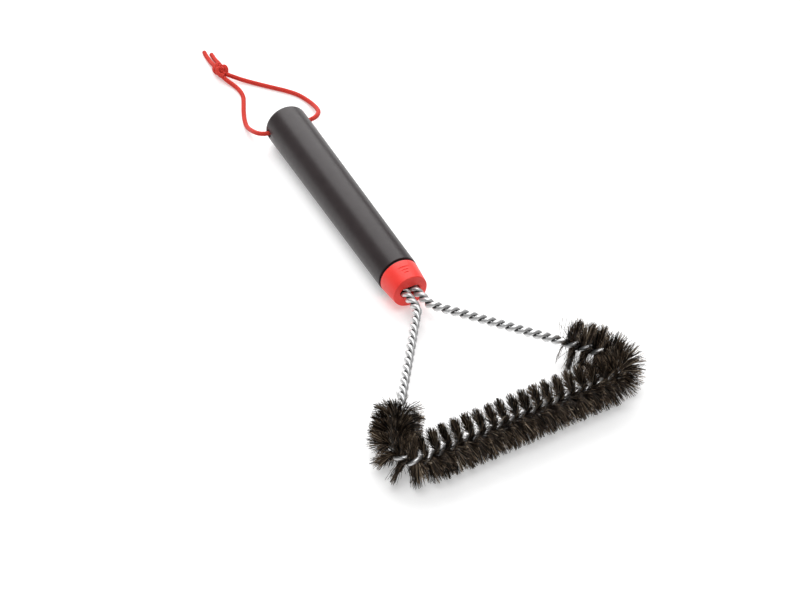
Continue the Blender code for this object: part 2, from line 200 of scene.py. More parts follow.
# Bristles; LONGEST and the two length spreads are shares of BRISTLE_REACH
BRISTLE_COUNT = 19000
BRISTLE_RADIUS = 0.14 * MM
BRISTLE_REACH = 15 * MM
BRISTLE_ROOT = 0.9 * MM
ROOT_SCATTER = 0.4 * MM
BRISTLE_SEED = 7
CLUMP_LENGTH = 0.6 * MM
CLUMP_LEAN = math.radians(1.6)
SPREAD = math.radians(3.6)
STRAY_SPREAD = math.radians(16)
STRAY_SHARE = 0.09
LONGEST = 1.13
LENGTH_SPREAD = 0.25
CORNER_LENGTH_SPREAD = 0.3
LOOSE_SHARE = 0.008
LOOSE_RUN = 1.4 * MM
BOW = 0.5 * MM
BOW_AT_MIDDLE = 0.25
BOW_AT_TIP = 0.6
FLOOR_GAPS = (0.2 * MM, 0.7 * MM)
TONE_SHAPE = (1.1, 2.6)
CLUMP_TONE = 0.07
BRISTLE_SIDES = 3
OFF_ALL_AXES = (0.3, 0.5, 0.81)

# Cord; the heights of its braid and the sizes of its melted ends are shares of its radius
CORD_RADIUS = 1.5 * MM
KNOT_CORD_RADIUS = 1.35 * MM
CORD_SPACING = 0.3 * MM
CORD_SIDES = 36
BRAID_STRANDS = 6
BRAID_PITCH = 11 * MM
BRAID_LOW = 0.9
BRAID_RISE = 0.14
MELT_LENGTH = 1 * MM
MELTED_RADIUS = 0.98
MELTED_TIP = 0.8
SPAN_STEPS = 24

# The knot is a trefoil curve in units of its own, opened at one place and led out to the loop and the tails
KNOT_CENTRE = np.array((-10.4, 242.6, 4.7)) * MM
KNOT_SCALE = np.array((1.0, 1.2, 1.6)) * MM
KNOT_OPENING = 0.6
KNOT_RISE = 1.45
KNOT_POINTS = 18
KNOT_SPACING = 0.2
KNOT_STRAND_OFFSET = 1.22
KNOT_LEAD = [(5.3, 0.0, 0.0), (3.9, -1.0, 0.2), (2.4, -2.1, 0.6)]

# The cord's two strands, from the middle of the cross hole to the knot, and its two tails, in millimetres in
# the handle's own frame
LEFT_ROUTE = [
    (-0.15, 158.3, 14.4), (-6, 158.3, 14.4), (-11.7, 158.4, 14.4), (-16.3, 159.3, 14.2),
    (-19.4, 162.3, 13.3), (-20.4, 167.2, 11.2), (-20.1, 172.6, 8.3), (-19.4, 178.4, 5.2),
    (-18.3, 184.8, 2.7), (-16.3, 191.9, 1.7), (-13.3, 199.7, 1.6), (-9.8, 207.2, 1.6),
    (-7.1, 213.8, 1.6), (-6.5, 220.2, 1.6), (-7.7, 226.6, 1.9), (-10.1, 232.2, 2.9), (-12.0, 237.2, 4.2),
]
RIGHT_ROUTE = [
    (0.15, 158.3, 14.4), (6, 158.3, 14.4), (11.5, 158.4, 14.4), (17.2, 159.1, 14.0),
    (22.4, 162.0, 12.6), (26.5, 167.2, 10.4), (29.1, 174.3, 7.0), (30.4, 182.8, 3.6),
    (29.8, 191.1, 1.8), (26.8, 199.0, 1.6), (21.8, 206.0, 1.6), (14.3, 214.1, 1.6),
    (6.9, 222.1, 1.6), (-0.3, 229.3, 2.3), (-5.6, 234.3, 3.6), (-8.5, 237.2, 4.4),
]
LONG_TAIL_ROUTE = [
    (-12.0, 248.5, 4.2), (-11.9, 252.5, 3.3), (-11.7, 257.2, 2.1), (-11.4, 263.0, 1.6), (-10.9, 269.0, 1.6),
]
SHORT_TAIL_ROUTE = [(-8.5, 248.5, 4.6), (-8.3, 252.0, 3.9), (-8.1, 256.7, 2.5), (-7.6, 264.4, 1.7)]


# Materials


class Recipe:
    """A node material round one Principled shader."""

    def __init__(self, name, roughness, metallic=0.0):
        self.material = bpy.data.materials.new(name)
        self.material.use_nodes = True
        self.nodes = self.material.node_tree.nodes
        self.link = self.material.node_tree.links.new
        self.shader = self.nodes["Principled BSDF"]
        self.shader.inputs["Roughness"].default_value = roughness
        self.shader.inputs["Metallic"].default_value = metallic

    def noise(self, size, detail=3.0):
        """Noise with features about size metres across."""
        place = self.nodes.new("ShaderNodeTexCoord")
        made = self.nodes.new("ShaderNodeTexNoise")
        made.inputs["Scale"].default_value = 1 / size
        made.inputs["Detail"].default_value = detail
        self.link(place.outputs["Object"], made.inputs["Vector"])
        return made.outputs["Fac"]

    def attribute(self, name):
        """A value that the mesh holds at each of its points."""
        made = self.nodes.new("ShaderNodeAttribute")
        made.attribute_name = name
        return made.outputs["Fac"]

    def colour(self, value, stops):
        """Colour the surface by a value, through stops of (position, colour)."""
        ramp = self.nodes.new("ShaderNodeValToRGB")
        elements = ramp.color_ramp.elements
        while len(elements) < len(stops):
            elements.new(0.5)
        for element, (position, shade) in zip(elements, stops):
            element.position = position
            element.color = (*shade, 1.0)
        self.link(value, ramp.inputs["Fac"])
        self.link(ramp.outputs["Color"], self.shader.inputs["Base Color"])

    def mottle(self, size, dark, light):
        """Colour the surface unevenly, in patches about size metres across."""
        self.colour(self.noise(size), [(MOTTLE_LOW, dark), (MOTTLE_HIGH, light)])

    def vary(self, socket, value, low, high):
        """Drive a shader socket from low to high by a noise value."""
        spread = self.nodes.new("ShaderNodeMapRange")
        spread.inputs["From Min"].default_value = NOISE_LOW
        spread.inputs["From Max"].default_value = NOISE_HIGH
        spread.inputs["To Min"].default_value = low
        spread.inputs["To Max"].default_value = high
        self.link(value, spread.inputs["Value"])
        self.link(spread.outputs["Result"], self.shader.inputs[socket])

    def bump(self, value, depth):
        """Raise the surface by a value, depth metres at most."""
        made = self.nodes.new("ShaderNodeBump")
        made.inputs["Distance"].default_value = depth
        self.link(value, made.inputs["Height"])
        self.link(made.outputs["Normal"], self.shader.inputs["Normal"])


def grip_plastic():
    """Charcoal plastic with a fine satin grain."""
    recipe = Recipe("satin_charcoal_plastic", roughness=0.36)
    recipe.mottle(9 * MM, GRIP_DARK, GRIP_LIGHT)
    recipe.vary("Roughness", recipe.noise(3 * MM), low=0.33, high=0.39)
    recipe.shader.inputs["Specular IOR Level"].default_value = 0.35
    recipe.bump(recipe.noise(0.5 * MM, detail=4.0), depth=0.012 * MM)
    return recipe.material


def collar_plastic():
    """Coral red plastic, a little duller than the grip's."""
    recipe = Recipe("satin_red_plastic", roughness=0.42)
    recipe.mottle(6 * MM, COLLAR_DARK, COLLAR_LIGHT)
    recipe.vary("Roughness", recipe.noise(2 * MM), low=0.40, high=0.48)
    recipe.shader.inputs["Specular IOR Level"].default_value = 0.4
    recipe.bump(recipe.noise(0.5 * MM, detail=4.0), depth=0.010 * MM)
    return recipe.material


def core_plastic():
    """Matt black plastic."""
    recipe = Recipe("matt_black_plastic", roughness=0.6)
    recipe.mottle(2 * MM, CORE_DARK, CORE_LIGHT)
    return recipe.material


def galvanised_wire():
    """A light grey coat, with painted shade that darkens it into the groove between the two wires."""
    recipe = Recipe("galvanised_wire", roughness=0.42, metallic=0.85)
    recipe.colour(recipe.attribute("height"), [(0.12, WIRE_GROOVE_SHADE), (0.45, WIRE_FLANK_HALF_SHADE), (0.72, WIRE_CREST)])
    recipe.vary("Roughness", recipe.noise(1.2 * MM), low=0.37, high=0.47)
    recipe.bump(recipe.noise(0.6 * MM), depth=0.006 * MM)
    return recipe.material


def sleeve_steel():
    """Plain steel for the sleeve inside the grip."""
    recipe = Recipe("crimped_sleeve_steel", roughness=0.35, metallic=0.9)
    recipe.colour(recipe.noise(2.5 * MM), [(NOISE_LOW, SLEEVE_DARK), (NOISE_HIGH, SLEEVE_LIGHT)])
    return recipe.material


def bristle_steel():
    """Dark oxidised spring wire, each bristle with its own tone; the lighter tones are partly the wire's own
    tan and partly painted glint.
    """
    recipe = Recipe("browned_bristle_wire", roughness=0.45, metallic=0.4)
    recipe.shader.inputs["Specular IOR Level"].default_value = 0.25
    recipe.colour(
        recipe.attribute("tone"),
        [(0.0, BRISTLE_DARKEST), (0.3, BRISTLE_DARK), (0.6, BRISTLE_TAN_AND_GLINT), (1.0, BRISTLE_PAINTED_GLINT)],
    )
    return recipe.material


def braided_cord():
    """Matt red yarn, with painted shade between the braid's strands and painted highlight on their crests."""
    recipe = Recipe("red_braided_cord", roughness=0.75)
    recipe.colour(recipe.attribute("height"), [(0.0, CORD_VALLEY_SHADE), (0.45, CORD_MIDDLE), (1.0, CORD_CREST_HIGHLIGHT)])
    recipe.shader.inputs["Sheen Weight"].default_value = 0.1
    recipe.shader.inputs["Specular IOR Level"].default_value = 0.25
    recipe.bump(recipe.noise(0.25 * MM, detail=4.0), depth=0.03 * MM)
    return recipe.material


# Stage


def light_table():
    """A white surface that glows a little, so shadows on it stay faint."""
    recipe = Recipe("white_light_table", roughness=0.9)
    recipe.shader.inputs["Base Color"].default_value = (FLOOR_GREY, FLOOR_GREY, FLOOR_GREY, 1.0)
    recipe.shader.inputs["Specular IOR Level"].default_value = 0.0
    recipe.shader.inputs["Emission Color"].default_value = WHITE
    recipe.shader.inputs["Emission Strength"].default_value = FLOOR_GLOW
    return recipe.material


def add_camera():
    """A long lens that looks down at the brush from its front left."""
    ahead = Vector((
        -math.sin(CAMERA_AZIMUTH) * math.cos(CAMERA_ELEVATION),
        math.cos(CAMERA_AZIMUTH) * math.cos(CAMERA_ELEVATION),
        -math.sin(CAMERA_ELEVATION),
    ))
    right = Vector((math.cos(CAMERA_AZIMUTH), math.sin(CAMERA_AZIMUTH), 0))
    level = Matrix((right, right.cross(ahead), -ahead)).transposed()
    rolled = level @ Matrix.Rotation(CAMERA_ROLL, 3, "Z")
    data = bpy.data.cameras.new("camera")
    data.lens = CAMERA_LENS_MM
    camera = bpy.data.objects.new("camera", data)
    bpy.context.scene.collection.objects.link(camera)
    camera.matrix_world = Matrix.Translation(CAMERA_TARGET - CAMERA_DISTANCE * ahead) @ rolled.to_4x4()
    bpy.context.scene.camera = camera


def add_light(name, place, size, watts):
    """A square soft box that faces the brush."""
    data = bpy.data.lights.new(name, "AREA")
    data.size = size
    data.energy = watts
    light = bpy.data.objects.new(name, data)
    bpy.context.scene.collection.objects.link(light)
    light.location = place
    light.rotation_euler = (-Vector(place)).to_track_quat("-Z", "Y").to_euler()


def add_stage():
    """The floor, the light all round and the soft boxes."""
    bm = bmesh.new()
    bmesh.ops.create_grid(bm, x_segments=1, y_segments=1, size=FLOOR_HALF_SIZE)
    mesh = bpy.data.meshes.new("floor")
    bm.to_mesh(mesh)
    bm.free()
    mesh.materials.append(light_table())
    floor = bpy.data.objects.new("floor", mesh)
    bpy.context.scene.collection.objects.link(floor)

    world = bpy.data.worlds.new("studio")
    world.use_nodes = True
    background = world.node_tree.nodes["Background"]
    background.inputs["Color"].default_value = WHITE
    background.inputs["Strength"].default_value = WORLD_STRENGTH
    bpy.context.scene.world = world
    for name, (place, size, watts) in SOFT_BOXES.items():
        add_light(name, place, size, watts)
    bpy.context.scene.view_settings.view_transform = "Standard"


# Meshes and lines


def finished(mesh, sharp_deg=35):
    """Smooth shading, but for edges sharper than an angle."""
    mesh.shade_smooth()
    mesh.set_sharp_from_angle(angle=math.radians(sharp_deg))
    return mesh


def add_piece(name, mesh, material, body, slot, *nodes):
    """Show a mesh as a piece that rides on a body and stands for CAD nodes."""
    made = bpy.data.objects.new(name, mesh)
    bpy.context.scene.collection.objects.link(made)
    mesh.materials.append(material)
    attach(made, body)
    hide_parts(*nodes)
    return made


def arc(centre, radius, start_deg, end_deg, steps):
    """Points (y, r) on an arc in a turned profile; 0 degrees points along +Y and 90 degrees outwards."""
    angles = [math.radians(start_deg + (end_deg - start_deg) * i / steps) for i in range(steps + 1)]
    return [(centre[0] + radius * math.cos(a), centre[1] + radius * math.sin(a)) for a in angles]


def turned(name, profile):
    """Turn a profile of (y, r) points that starts and ends on the handle's axis."""
    bm = bmesh.new()
    verts = [bm.verts.new((r, y, 0)) for y, r in profile]
    edges = [bm.edges.new(pair) for pair in zip(verts, verts[1:])]
    bmesh.ops.spin(
        bm, geom=verts + edges, cent=(0, 0, 0), axis=(0, 1, 0), angle=math.tau, steps=TURNED_SIDES,
        use_merge=True,
    )
    bmesh.ops.remove_doubles(bm, verts=bm.verts, dist=TOUCHING)
    bmesh.ops.translate(bm, vec=(0, 0, HANDLE_Z), verts=bm.verts)
    bmesh.ops.recalc_face_normals(bm, faces=bm.faces)
    mesh = bpy.data.meshes.new(name)
    bm.to_mesh(mesh)
    bm.free()
    return mesh


def lofted(name, outlines):
    """A closed solid through outlines that have the same number of points."""
    bm = bmesh.new()
    rings = [[bm.verts.new(p) for p in outline] for outline in outlines]
    for near, far in zip(rings, rings[1:]):
        for i in range(len(near)):
            j = (i + 1) % len(near)
            bm.faces.new((near[i], near[j], far[j], far[i]))
    bm.faces.new(rings[0])
    bm.faces.new(rings[-1])
    bmesh.ops.recalc_face_normals(bm, faces=bm.faces)
    mesh = bpy.data.meshes.new(name)
    bm.to_mesh(mesh)
    bm.free()
    return mesh


def carved(mesh, cutters):
    """The mesh with the cutters' shapes taken away."""
    body = bpy.data.objects.new("carved_body", mesh)
    bpy.context.scene.collection.objects.link(body)
    tools = []
    for cutter in cutters:
        tool = bpy.data.objects.new(cutter.name, cutter)
        bpy.context.scene.collection.objects.link(tool)
        modifier = body.modifiers.new(cutter.name, "BOOLEAN")
        modifier.operation = "DIFFERENCE"
        modifier.object = tool
        tools.append(tool)
    evaluated = body.evaluated_get(bpy.context.evaluated_depsgraph_get())
    result = bpy.data.meshes.new_from_object(evaluated)
    result.name = mesh.name
    for spent in [body, *tools]:
        bpy.data.objects.remove(spent, do_unlink=True)
    return result


def mesh_of_tubes(name, tubes):
    """One mesh of closed tubes, each (points, radii, heights) with a row for each point on its line."""
    all_verts = []
    all_faces = []
    all_heights = []
    start = 0
    for points, radii, heights in tubes:
        rings, sides = radii.shape
        side, up = frames_along(points)
        turns = math.tau * np.arange(sides) / sides
        spokes = np.cos(turns)[:, None] * side[:, None, :] + np.sin(turns)[:, None] * up[:, None, :]
        all_verts.append((points[:, None, :] + radii[:, :, None] * spokes).reshape(-1, 3))
        first = start + np.arange(rings - 1)[:, None] * sides + np.arange(sides)
        following = start + np.arange(rings - 1)[:, None] * sides + (np.arange(sides) + 1) % sides
        quads = np.stack([first, following, following + sides, first + sides], axis=-1).reshape(-1, 4)
        all_faces += quads.tolist()
        all_faces.append(list(range(start + sides - 1, start - 1, -1)))
        all_faces.append(list(range(start + (rings - 1) * sides, start + rings * sides)))
        all_heights.append(heights.ravel())
        start += rings * sides
    mesh = bpy.data.meshes.new(name)
    mesh.from_pydata(np.concatenate(all_verts).tolist(), [], all_faces)
    layer = mesh.attributes.new("height", "FLOAT", "POINT")
    layer.data.foreach_set("value", np.concatenate(all_heights).astype(np.float32))
    return finished(mesh, sharp_deg=60)


def frames_along(points):
    """Two directions across a line, square to each other, that turn about it as little as they can."""
    ahead = np.gradient(points, axis=0)
    ahead /= np.linalg.norm(ahead, axis=1, keepdims=True)
    side = np.empty_like(points)
    side[0] = np.cross(ahead[0], (0, 0, 1))
    for i in range(len(points)):
        before = side[max(i - 1, 0)]
        level = before - ahead[i] * (before @ ahead[i])
        side[i] = level / np.linalg.norm(level)
    return side, np.cross(ahead, side)


def travelled(points):
    """How far along the line each point is, from its first point."""
    steps = np.linalg.norm(np.diff(points, axis=0), axis=1)
    return np.concatenate([[0.0], np.cumsum(steps)])


def respaced(points, spacing):
    """The same line with points evenly spaced."""
    distances = travelled(points)
    count = max(2, round(distances[-1] / spacing) + 1)
    wanted = np.linspace(0, distances[-1], count)
    return np.stack([np.interp(wanted, distances, points[:, k]) for k in range(3)], axis=1)


def smooth_line(route, spacing):
    """Evenly spaced points on a smooth curve through a route."""
    knots = [np.array(p, float) for p in route]
    knots = [2 * knots[0] - knots[1], *knots, 2 * knots[-1] - knots[-2]]
    t = (np.arange(SPAN_STEPS) / SPAN_STEPS)[:, None]
    fine = [
        0.5 * (2 * b + (c - a) * t + (2 * a - 5 * b + 4 * c - d) * t**2 + (3 * b - a - 3 * c + d) * t**3)
        for a, b, c, d in zip(knots, knots[1:], knots[2:], knots[3:])
    ]
    return respaced(np.concatenate([*fine, knots[-2][None, :]]), spacing)


# Cord


def placed(points):
    """Points of the handle's frame in their place in the world."""
    matrix = np.array(HANDLE_PLACE)
    return points @ matrix[:3, :3].T + matrix[:3, 3]


def braid_height(along, turns):
    """Height, from 0 to 1, of a two-way braid by the distance along the cord and the angle round it."""
    u = BRAID_STRANDS * turns / math.tau
    v = BRAID_STRANDS * along / BRAID_PITCH
    first_over = (np.floor(u + v) + np.floor(u - v)) % 2 == 1
    first = np.sin(math.pi * ((u + v) % 1))
    second = np.sin(math.pi * ((u - v) % 1))
    over = np.where(first_over, first, second)
    under = np.where(first_over, second, first)
    return np.sqrt(over) * (0.5 + 0.5 * under)


def braided_tube(points, radius, cut_end=False):
    """A braided cord along a line, as (points, radii, heights), its far end cut off and melted if cut_end."""
    along = travelled(points)
    turns = math.tau * np.arange(CORD_SIDES) / CORD_SIDES
    heights = braid_height(along[:, None], turns[None, :])
    radii = radius * (BRAID_LOW + BRAID_RISE * heights)
    if cut_end:
        to_end = (along[-1] - along)[:, None]
        melted = np.clip(1 - to_end / MELT_LENGTH, 0, 1)
        heights = heights * (1 - melted)
        chamfer = np.clip(MELTED_TIP + to_end / (2 * MELT_LENGTH), 0, 1)
        radii = radii * (1 - melted) + radius * MELTED_RADIUS * melted * chamfer
    return points, radii, heights


def knot_strands():
    """The two strands side by side through the overhand knot, from the loop's side to the tails' side."""
    t = np.linspace(math.pi + KNOT_OPENING, 3 * math.pi - KNOT_OPENING, KNOT_POINTS)
    trefoil = [np.sin(t) + 2 * np.sin(2 * t), np.cos(t) - 2 * np.cos(2 * t), -KNOT_RISE * np.sin(3 * t)]
    turns = np.stack(trefoil, axis=1)
    trail = [(-x, y, -z) for x, y, z in reversed(KNOT_LEAD)]
    middle = smooth_line([*KNOT_LEAD, *turns, *trail], KNOT_SPACING)
    flat = np.cross(np.gradient(middle, axis=0), (0, 0, 1))
    flat /= np.linalg.norm(flat, axis=1, keepdims=True)
    strands = []
    for sign in (-1, 1):
        line = middle + sign * flat * KNOT_STRAND_OFFSET
        turned_line = np.stack([line[:, 1], -line[:, 0], line[:, 2]], axis=1)
        strands.append(respaced(placed(turned_line * KNOT_SCALE + KNOT_CENTRE), CORD_SPACING))
    return strands


def build_cord():
    """The two sides of the loop, the tails and the knot."""
    material = braided_cord()
    routes = {
        "cord_left": LEFT_ROUTE,
        "cord_right": RIGHT_ROUTE,
        "cord_tail_long": LONG_TAIL_ROUTE,
        "cord_tail_short": SHORT_TAIL_ROUTE,
    }
    lines = {node: placed(smooth_line(np.array(route) * MM, CORD_SPACING)) for node, route in routes.items()}
    for node, line in lines.items():
        mesh = mesh_of_tubes("braided_" + node, [braided_tube(line, CORD_RADIUS, "tail" in node)])
        add_piece("braided_" + node, mesh, material, "hanging_loop", "braided_cord", node)
    knot = mesh_of_tubes("overhand_knot", [braided_tube(line, KNOT_CORD_RADIUS) for line in knot_strands()])
    add_piece(
        "overhand_knot", knot, material, "hanging_loop", "braided_cord", "cord_knot"
    )

    for node, side in (("cord_left", -1), ("cord_right", 1)):
        line = lines[node]


# Grip and collar


def cord_hole_cutter():
    """A round bar across the grip that widens softly where it meets the grip's surface."""
    outlines = []
    turns = [math.tau * i / CORD_HOLE_SIDES for i in range(CORD_HOLE_SIDES)]
    flare_end = CORD_HOLE_FLARE_DEPTH - GRIP_BUTT_RADIUS
    stations = [-CORD_HOLE_CUT_X, *np.linspace(-GRIP_BUTT_RADIUS, flare_end, CORD_HOLE_FLARE_STEPS)]
    for x in [*stations, *[-s for s in reversed(stations)]]:
        outward = 1 - min(max((GRIP_BUTT_RADIUS - abs(x)) / CORD_HOLE_FLARE_DEPTH, 0), 1)
        radius = CORD_HOLE_RADIUS + CORD_HOLE_FLARE * (1 - math.sqrt(1 - outward**2))
        outlines.append([
            (x, CORD_HOLE.y + radius * math.cos(a), CORD_HOLE.z + radius * math.sin(a)) for a in turns
        ])
    return lofted("cord_hole_cutter", outlines)


def build_grip():
    """The hollow grip: a bore from the front, a soft lip, a slight taper and a domed butt."""
    outside = [(GAP, BORE_RADIUS), (GAP, GRIP_SEAM_RADIUS - GRIP_LIP)]
    lip_centre = (GAP + GRIP_LIP, GRIP_SEAM_RADIUS - GRIP_LIP)
    outside += arc(lip_centre, GRIP_LIP, start_deg=170, end_deg=92, steps=6)
    outside += [(GRIP_TAPER_END_Y, GRIP_BUTT_RADIUS)]
    edge_centre = (GRIP_LENGTH - GRIP_BUTT_CROWN - GRIP_BUTT_ROUND, GRIP_BUTT_RADIUS - GRIP_BUTT_ROUND)
    outside += arc(edge_centre, GRIP_BUTT_ROUND, start_deg=90, end_deg=10, steps=16)
    for share in (0.75, 0.5, 0.25, 0):
        outside += [(GRIP_LENGTH - GRIP_BUTT_CROWN * share**2, GRIP_CROWN_RADIUS * share)]
    profile = [(BORE_TIP_Y, 0), (BORE_END_Y, BORE_RADIUS), *outside]
    mesh = finished(carved(turned("moulded_grip", profile), [cord_hole_cutter()]))
    mesh.transform(HANDLE_PLACE)
    add_piece("moulded_grip", mesh, grip_plastic(), "handle", "grip_plastic", "handle_grip")


def slot_outline(y, grown):
    """A slot with round ends across the handle's axis, grown all round."""
    radius = SLOT_HALF_HEIGHT + grown
    straight = SLOT_HALF_WIDTH - SLOT_HALF_HEIGHT
    points = []
    for side in (1, -1):
        for i in range(SLOT_END_STEPS + 1):
            angle = math.radians(-90 + 180 * i / SLOT_END_STEPS)
            x = side * (straight + radius * math.cos(angle))
            points.append((x, y, HANDLE_Z + side * radius * math.sin(angle)))
    return points


def slot_cutter():
    """The slot through the collar's front, with a rounded lip."""
    outlines = [slot_outline(-COLLAR_LENGTH - OVERCUT, SLOT_LIP)]
    for i in range(SLOT_LIP_STEPS + 1):
        sunk = math.sin(math.radians(90 * i / SLOT_LIP_STEPS))
        grown = SLOT_LIP * (1 - sunk) ** SLOT_LIP_POWER
        outlines.append(slot_outline(-COLLAR_LENGTH + SLOT_LIP * sunk, grown))
    outlines.append(slot_outline(POCKET_Y + OVERCUT, 0))
    return lofted("slot_cutter", outlines)


def groove_cutter(y, half_length, collar_radius):
    """A thin bar that narrows to its ends, laid across the collar's top and half sunk into it."""
    height = HANDLE_Z + collar_radius + GROOVE_LIFT
    turns = [math.tau * k / GROOVE_SIDES for k in range(GROOVE_SIDES)]
    outlines = []
    for i in range(-GROOVE_STEPS, GROOVE_STEPS + 1):
        angle = math.pi * i / (2 * GROOVE_STEPS)
        x = half_length * math.sin(angle)
        radius = max(GROOVE_RADIUS * math.cos(angle), GROOVE_TIP_RADIUS)
        sag = collar_radius - math.sqrt(collar_radius**2 - x**2)
        outlines.append([(x, y + radius * math.cos(a), height - sag + radius * math.sin(a)) for a in turns])
    return lofted("groove_cutter", outlines)


def build_collar():
    """The collar: a pocket for the core from behind, the wires' slot in front and three grooves on top."""
    back_y = -FLANGE_THICKNESS - GAP
    back_centre = (back_y - COLLAR_BACK_ROUND, COLLAR_BACK_RADIUS - COLLAR_BACK_ROUND)
    edge_centre = (COLLAR_EDGE_ROUND - COLLAR_LENGTH, COLLAR_FACE_RADIUS - COLLAR_EDGE_ROUND)
    profile = [
        (POCKET_Y, 0),
        (POCKET_Y, POCKET_RADIUS),
        (back_y, POCKET_RADIUS),
        *arc(back_centre, COLLAR_BACK_ROUND, start_deg=0, end_deg=85, steps=6),
        *arc(edge_centre, COLLAR_EDGE_ROUND, start_deg=95, end_deg=180, steps=10),
        (-COLLAR_LENGTH, 0),
    ]
    cutters = [slot_cutter()]
    middle_y = (back_y - COLLAR_LENGTH) / 2
    taper = (COLLAR_BACK_RADIUS - COLLAR_FACE_RADIUS) / (back_y + COLLAR_LENGTH)
    for step, half_length in zip((-1, 0, 1), GROOVE_HALF_LENGTHS):
        y = middle_y + step * GROOVE_PITCH
        cutters.append(groove_cutter(y, half_length, COLLAR_FACE_RADIUS + taper * (y + COLLAR_LENGTH)))
    mesh = finished(carved(turned("moulded_collar", profile), cutters))
    mesh.transform(HANDLE_PLACE)
    add_piece("moulded_collar", mesh, collar_plastic(), "handle", "collar_plastic", "front_collar")


# Wires and bristles


def front_middle():
    """The middle of the front of the twisted pair's centre line."""
    low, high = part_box("bristles_front")
    return Vector((0, (low.y + high.y) / 2, high.z - BRISTLE_REACH))


def core_line():
    """Evenly spaced points down the middle of the twisted pair, from the left wire ends to the right ones."""
    front = front_middle()
    sides = []
    for side in (-1, 1):
        stem = [HANDLE_PLACE @ Vector((side * STEM_X, y, HANDLE_Z)) for y in (WIRE_END_Y, -COLLAR_LENGTH)]
        elbow = Vector((side * ELBOW_X, ELBOW_Y, HANDLE_Z))
        sides.append([*stem, elbow, Vector((side * HEAD_HALF_WIDTH, front.y, front.z))])
    corners = [*sides[0], *reversed(sides[1])]
    radii = [STEM_BEND_RADIUS, ELBOW_BEND_RADIUS, CORNER_BEND_RADIUS]
    radii += reversed(radii)
    points = [corners[0]]
    for before, corner, after, radius in zip(corners, corners[1:], corners[2:], radii):
        back = (before - corner).normalized()
        onward = (after - corner).normalized()
        half_angle = back.angle(onward) / 2
        centre = corner + (back + onward).normalized() * radius / math.sin(half_angle)
        spoke = corner + back * radius / math.tan(half_angle) - centre
        sweep = math.pi - 2 * half_angle
        axis = -back.cross(onward).normalized()
        steps = math.ceil(2 * sweep * radius / CORE_SPACING)
        points += [centre + Matrix.Rotation(sweep * i / steps, 3, axis) @ spoke for i in range(steps + 1)]
    return respaced(np.array([*points, corners[-1]]), CORE_SPACING)


def core_distances(line):
    """How far along the core line each point is, counted from the middle of the front."""
    distances = travelled(line)
    front = line[:, 1] < front_middle().y + TOUCHING
    return distances - np.interp(0, line[front, 0], distances[front])


def head_marks():
    """Distances along the core line to the start and end of a corner's bristles and the end of an arm's."""
    half_corner = math.atan2(ELBOW_Y - front_middle().y, HEAD_HALF_WIDTH - ELBOW_X) / 2
    bend_reach = CORNER_BEND_RADIUS / math.tan(half_corner)
    bristle_reach = BRISTLE_REACH / math.tan(half_corner)
    saved = 2 * bend_reach - CORNER_BEND_RADIUS * (math.pi - 2 * half_corner)
    past_corner = HEAD_HALF_WIDTH - saved
    return HEAD_HALF_WIDTH - bristle_reach, past_corner + bristle_reach, past_corner + BRISTLED_ARM


def core_directions(line):
    """Along the core line, level across it, and square to both, at each of its points."""
    ahead = np.gradient(line, axis=0)
    ahead /= np.linalg.norm(ahead, axis=1, keepdims=True)
    across = np.cross((0, 0, 1), ahead)
    across /= np.linalg.norm(across, axis=1, keepdims=True)
    return ahead, across, np.cross(ahead, across)


def twist_angle(s, bristled):
    """Left-handed twist of the pair, nought at TWIST_START along the front."""
    inner = np.minimum(np.abs(s), bristled + WIDE_TWIST_RUN_ON)
    turns = inner / BRISTLED_PITCH + (np.abs(s) - inner) / BARE_PITCH
    return -math.tau * (np.copysign(turns, s) - TWIST_START / BRISTLED_PITCH)


def build_wires(line, s, bristled):
    """The two wires; a height on each is 0 where it faces the other wire and 1 where it faces away, and sets
    the painted shade in the groove between them.
    """
    _, across, up = core_directions(line)
    material = galvanised_wire()
    turns = math.tau * np.arange(WIRE_SIDES) / WIRE_SIDES
    for node, phase in (("core_wire_a", 0), ("core_wire_b", math.pi)):
        angle = (twist_angle(s, bristled) + phase)[:, None]
        outward = np.cos(angle) * across + np.sin(angle) * up
        middle = line + TWIST_RADIUS * outward
        side, over = frames_along(middle)
        spokes = np.cos(turns)[:, None] * side[:, None, :] + np.sin(turns)[:, None] * over[:, None, :]
        facing_away = (spokes * outward[:, None, :]).sum(axis=2)
        radii = np.full(facing_away.shape, WIRE_RADIUS)
        mesh = mesh_of_tubes("twisted_" + node, [(middle, radii, 0.5 + 0.5 * facing_away)])
        add_piece("twisted_" + node, mesh, material, "handle", "wire_steel", node)


def bristle_places(rng, bristled):
    """Where each bristle stands along the core line: evenly, with a few loose ones past the ends."""
    place = rng.uniform(-bristled, bristled, BRISTLE_COUNT)
    loose = rng.random(BRISTLE_COUNT) < LOOSE_SHARE
    past_end = np.copysign(bristled + rng.exponential(LOOSE_RUN, BRISTLE_COUNT), place)
    return np.where(loose, past_end, place)


